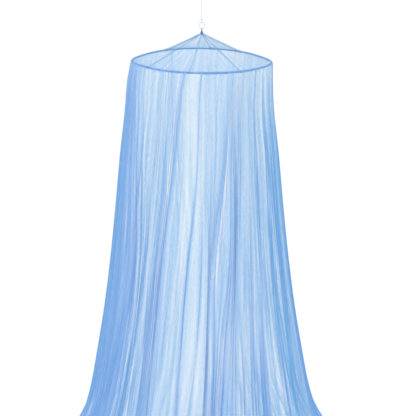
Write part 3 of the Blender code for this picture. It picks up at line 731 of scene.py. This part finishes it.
stay_finish = thread_finish("blue_stay_cord", STAY_BLUE, 6, 420)
for number, (stay_bearing, _) in enumerate(STAYS, start=1):
    turn = math.radians(stay_bearing)
    out = np.array([math.sin(turn), -math.cos(turn), 0.0])
    across = np.array([math.cos(turn), math.sin(turn), 0.0])
    top = (STAY_TOP[0] - HOOP_RADIUS, STAY_TOP[1] + lowered(turn, 1.0))
    loop = np.radians(np.linspace(*LOOP_ANGLES, 28))
    loop = evenly(np.stack([STAY_LOOP * np.cos(loop), STAY_LOOP * np.sin(loop)], -1), CORD_STEP)
    flat = np.concatenate([evenly(np.linspace(top, STAY_FOOT, 12), CORD_STEP), loop, [STAY_END]])
    route = out * (HOOP_RADIUS + flat[:, :1]) + UP * (HOOP_Z - lowered(turn, 1.0) + flat[:, 1:])
    knots = [math.dist(top, STAY_FOOT)]
    points, ridge = twisted(route, across, STAY_RADIUS, knots, STAY_KNOT, STAY_KNOT)
    # Painted shade: the cord is darker in the grooves between its strands.
    stay = lay_mesh(f"stay_cord_{number}", points, stay_finish, "blue_binding", capped=True, ridge=ridge)
    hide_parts(f"stay_{number}")

# ---- Top binding and tape loop ----------------------------------------------------------
# The roof net's tip is drawn together and wound tight with thread. A loop of woven tape is
# sewn into it, and the plastic ring hangs the whole net by that loop.
SEAT = 0.0003  # between pieces that touch
BINDING_LOW, BINDING_HEIGHT = HOOP_Z + 0.1135, 0.0120
BINDING_PROFILE = (
    # shares of the way down, and the radius at each
    (0.0, 0.06, 0.62, 0.72, 1.0),
    (0.0040, 0.0046, 0.0060, 0.0062, 0.0077),
)
BINDING_TURNS, THREAD_RIDGE = 9.0, 0.00035
PLEATS, PLEAT_RIDGE = 22, 0.0004
RING_WIDE, RING_TALL, RING_WIRE = 0.0110, 0.0140, 0.0016
RING_MIDDLE = BINDING_LOW + BINDING_HEIGHT + 0.0100 + RING_TALL
LOOP_WIDTH, LOOP_THICK, LOOP_STEP = 0.0040, 0.0010, 0.00025

# A turned profile: thread ridges run round it as a screw, and below them the net's pleats flare.
# shut draws its first and last rows in towards the middle.
height = np.concatenate([[1.0, 1.0, 0.995, 0.98], np.linspace(0.96, 0.02, 84), [0.005, 0.0, 0.0]])[:, None]
shut = np.concatenate([[0.15, 0.6, 0.86], np.ones(len(height) - 6), [0.97, 0.6, 0.15]])[:, None]
around = circle(96)
wound = np.clip((height - 0.34) / 0.06, 0.0, 1.0)
thread = np.abs(np.sin(np.pi * height * BINDING_TURNS + around / 2))
pleat = np.cos(PLEATS * around + 3.0 * np.sin(2 * around))
flared = (1.0 - wound) * np.clip((0.40 - height) / 0.2, 0.0, 1.0)
radius = np.interp(1.0 - height, *BINDING_PROFILE)
radius = radius + THREAD_RIDGE * wound * thread + PLEAT_RIDGE * flared * pleat
points = round_points(radius * shut, around, BINDING_LOW + BINDING_HEIGHT * height)
# Painted shade: the binding is darker between its thread turns and in the hollows of the pleats below them.
ridge = wound * thread + (1.0 - wound) * (0.5 + 0.5 * pleat)
binding_finish = thread_finish("blue_binding_thread", STAY_BLUE, 90, 26)
binding = lay_mesh("wound_binding", points, binding_finish, "blue_binding", capped=True, ridge=ridge)
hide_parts("top_binding")

# The tape rises from the binding, goes over the ring's wire in a half circle, and comes down again.
foot, arch = BINDING_LOW + BINDING_HEIGHT - 0.0015, RING_MIDDLE - RING_TALL + SEAT
bend = RING_WIRE + SEAT + LOOP_THICK / 2
turn = np.radians(np.linspace(0.0, 180.0, 15))
rise = [(0.0, bend, foot), (0.0, bend, foot + 0.003), (0.0, bend, arch - 0.002)]
over = [(0.0, bend * c, arch + bend * d) for c, d in zip(np.cos(turn), np.sin(turn))]
route = evenly(rise + over + [(0.0, -bend, height) for _, _, height in rise[::-1]], LOOP_STEP)
points = sweep(route, RIGHT, LOOP_THICK / 2, LOOP_WIDTH / 2, sides=20, power=0.5)
# Painted shade: the tape is darker between its woven ribs.
rib = np.broadcast_to(0.5 + 0.5 * np.sin(np.arange(len(route)) * 1.6)[:, None], points.shape[:2])
loop_finish = thread_finish("blue_loop_tape", STAY_BLUE, 12, 60)
tape = lay_mesh("woven_tape_loop", points, loop_finish, "blue_binding", capped=True, ridge=rib)
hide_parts("tape_loop")

# ---- Ring, cord and ceiling hook --------------------------------------------------------
# A clear oval ring moulded in plastic. A thin white cord is tied in an eye through it, and in
# another over the coated wire hook, which is fixed in a round white plate on the ceiling.
CLOUDED, CLEAR = (0.58, 0.70, 0.76, 1.0), (0.74, 0.82, 0.86, 1.0)
turn = circle(180)
route = np.stack([RING_WIDE * np.cos(turn), np.zeros(180), RING_MIDDLE + RING_TALL * np.sin(turn)], -1)
ahead = np.stack([-RING_WIDE * np.sin(turn), np.zeros(180), RING_TALL * np.cos(turn)], -1)
ring_finish = Finish("clear_ring_plastic", Roughness=0.10, IOR=1.49, Coat_Weight=0.3, Specular_IOR_Level=0.6)
cloud = ring_finish.noise(ring_finish.node("ShaderNodeTexCoord")[3], 260.0)
ring_finish.feed(Base_Color=ring_finish.blend(cloud, CLOUDED, CLEAR))
ring_finish.feed(Alpha=cloud * 0.15 + 0.56)
ring_finish.relief(cloud, 0.0001)
points = sweep(route, BACK, RING_WIRE, RING_WIRE * 1.05, sides=24, ahead=ahead)
ring = lay_mesh("clear_ring", points, ring_finish, "clear_plastic", ring=True)
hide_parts("hang_ring")

PLATE_THICK = 0.0050
PLATE_PROFILE = (
    # out from the middle, and up from the ceiling
    (0.0004, 0.0), (0.0185, 0.0), (0.0194, -0.0002), (0.0199, -0.0008), (0.0200, -0.0018), (0.0199, -0.0030),
    (0.0194, -0.0040), (0.0184, -0.0045), (0.0120, -0.0047), (0.0062, -0.0047), (0.0052, -0.0048),
    (0.0044, -0.0050), (0.0004, -0.0050),
)
HOOK_WIRE, HOOK_BEND, HOOK_SHANK = 0.0017, 0.0090, 0.0120
HOOK_MIDDLE = -PLATE_THICK - HOOK_SHANK - HOOK_BEND - 0.001
FITTING_STEP = 0.0004
DULL_WHITE, CLEAN_WHITE = (0.70, 0.70, 0.69, 1.0), (0.84, 0.84, 0.83, 1.0)
coat_finish = Finish("white_coated_fitting", Specular_IOR_Level=0.5, Coat_Weight=0.15)
place = coat_finish.node("ShaderNodeTexCoord")[3]
speck, wear = coat_finish.noise(place, 900.0), coat_finish.noise(place, 90.0)
coat_finish.feed(Base_Color=coat_finish.blend(wear, DULL_WHITE, CLEAN_WHITE))
coat_finish.feed(Roughness=wear * 0.2 + 0.30)
coat_finish.relief(speck, 0.00008)

# The plate is turned. Its profile runs from the middle of its ceiling face over a rounded edge to a low boss.
reach, level = evenly(PLATE_PROFILE, FITTING_STEP).T[:, :, None]
points = round_points(reach, circle(72), level)
plate = lay_mesh("round_ceiling_plate", points, coat_finish, "white_plastic", capped=True)
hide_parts("ceiling_plate")

# The hook's wire comes down from the plate, bends round, and ends in a half ball.
turn = np.radians(np.arange(125.0, 400.0, 25.0))
route = [(0.0, 0.0, -PLATE_THICK - low) for low in (0.0, 0.005, HOOK_SHANK)]
route += [(HOOK_BEND * c, 0.0, HOOK_MIDDLE + HOOK_BEND * d) for c, d in zip(np.cos(turn), np.sin(turn))]
route = evenly(route, FITTING_STEP)
left = (np.arange(len(route))[::-1] * FITTING_STEP)[:, None] + 0.0001
inside = 1.0 - np.clip(left / HOOK_WIRE, 0.0, 1.0)
points = sweep(route, BACK, HOOK_WIRE * np.sqrt(1.0 - inside**2), sides=20)
hook = lay_mesh("coated_wire_hook", points, coat_finish, "white_plastic", capped=True)
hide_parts("ceiling_hook")

# The cord starts at its lower knot, goes through the ring, up, and over the hook to its upper knot.
CORD_RADIUS, KNOT_RADIUS, KNOT_HEIGHT = 0.0010, 0.0026, 0.0048
CORD_WHITE = (0.50, 0.52, 0.56, 1.0)
HOOK_LOW, RING_HIGH = HOOK_MIDDLE - HOOK_BEND, RING_MIDDLE + RING_TALL
UPPER_KNOT, LOWER_KNOT = HOOK_LOW - 0.011, RING_HIGH + 0.011


def eye(wire_height, wire_radius, knot_height):
    """Half of an eye's route: from its knot out round one side of the wire to the wire's far side."""
    side = wire_radius + SEAT + CORD_RADIUS
    up = 1.0 if wire_height > knot_height else -1.0
    return np.array([
        (0.0, 0.6 * CORD_RADIUS, knot_height),
        (0.0, side * 0.9, knot_height + up * 0.006),
        (0.0, side * 1.05, wire_height - up * 0.001),
        (0.0, side * 0.75, wire_height + up * side * 0.75),
        (0.0, 0.0, wire_height + up * side * 1.05),
    ])


lower, upper = eye(RING_HIGH, RING_WIRE, LOWER_KNOT), eye(HOOK_LOW, HOOK_WIRE, UPPER_KNOT)
other = np.array([1.0, -1.0, 1.0])
heights = np.linspace(LOWER_KNOT + 0.008, UPPER_KNOT - 0.008, 5)
middle = heights[:, None] * UP
route = np.concatenate([lower, (lower[:-1] * other)[::-1], middle, upper * other, upper[:-1][::-1]])
route = evenly(route, CORD_STEP)
place = np.concatenate([[0.0], np.cumsum(np.linalg.norm(np.diff(route, axis=0), axis=1))])
rising = (route[:, 2] > LOWER_KNOT) & (route[:, 2] < UPPER_KNOT)
knots = [place[rising & (np.abs(route[:, 1]) < 0.0004)][i] for i in (0, -1)]
points, ridge = twisted(route, RIGHT, CORD_RADIUS, knots, KNOT_RADIUS * 1.05, KNOT_HEIGHT)
cord_finish = thread_finish("white_twisted_cord", CORD_WHITE, 6, 300, roughness=0.85)
# Painted shade: the cord is darker in the grooves between its strands.
hang_cord = lay_mesh("twisted_hang_cord", points, cord_finish, "white_cord", capped=True, ridge=ridge)
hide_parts("hang_cord")
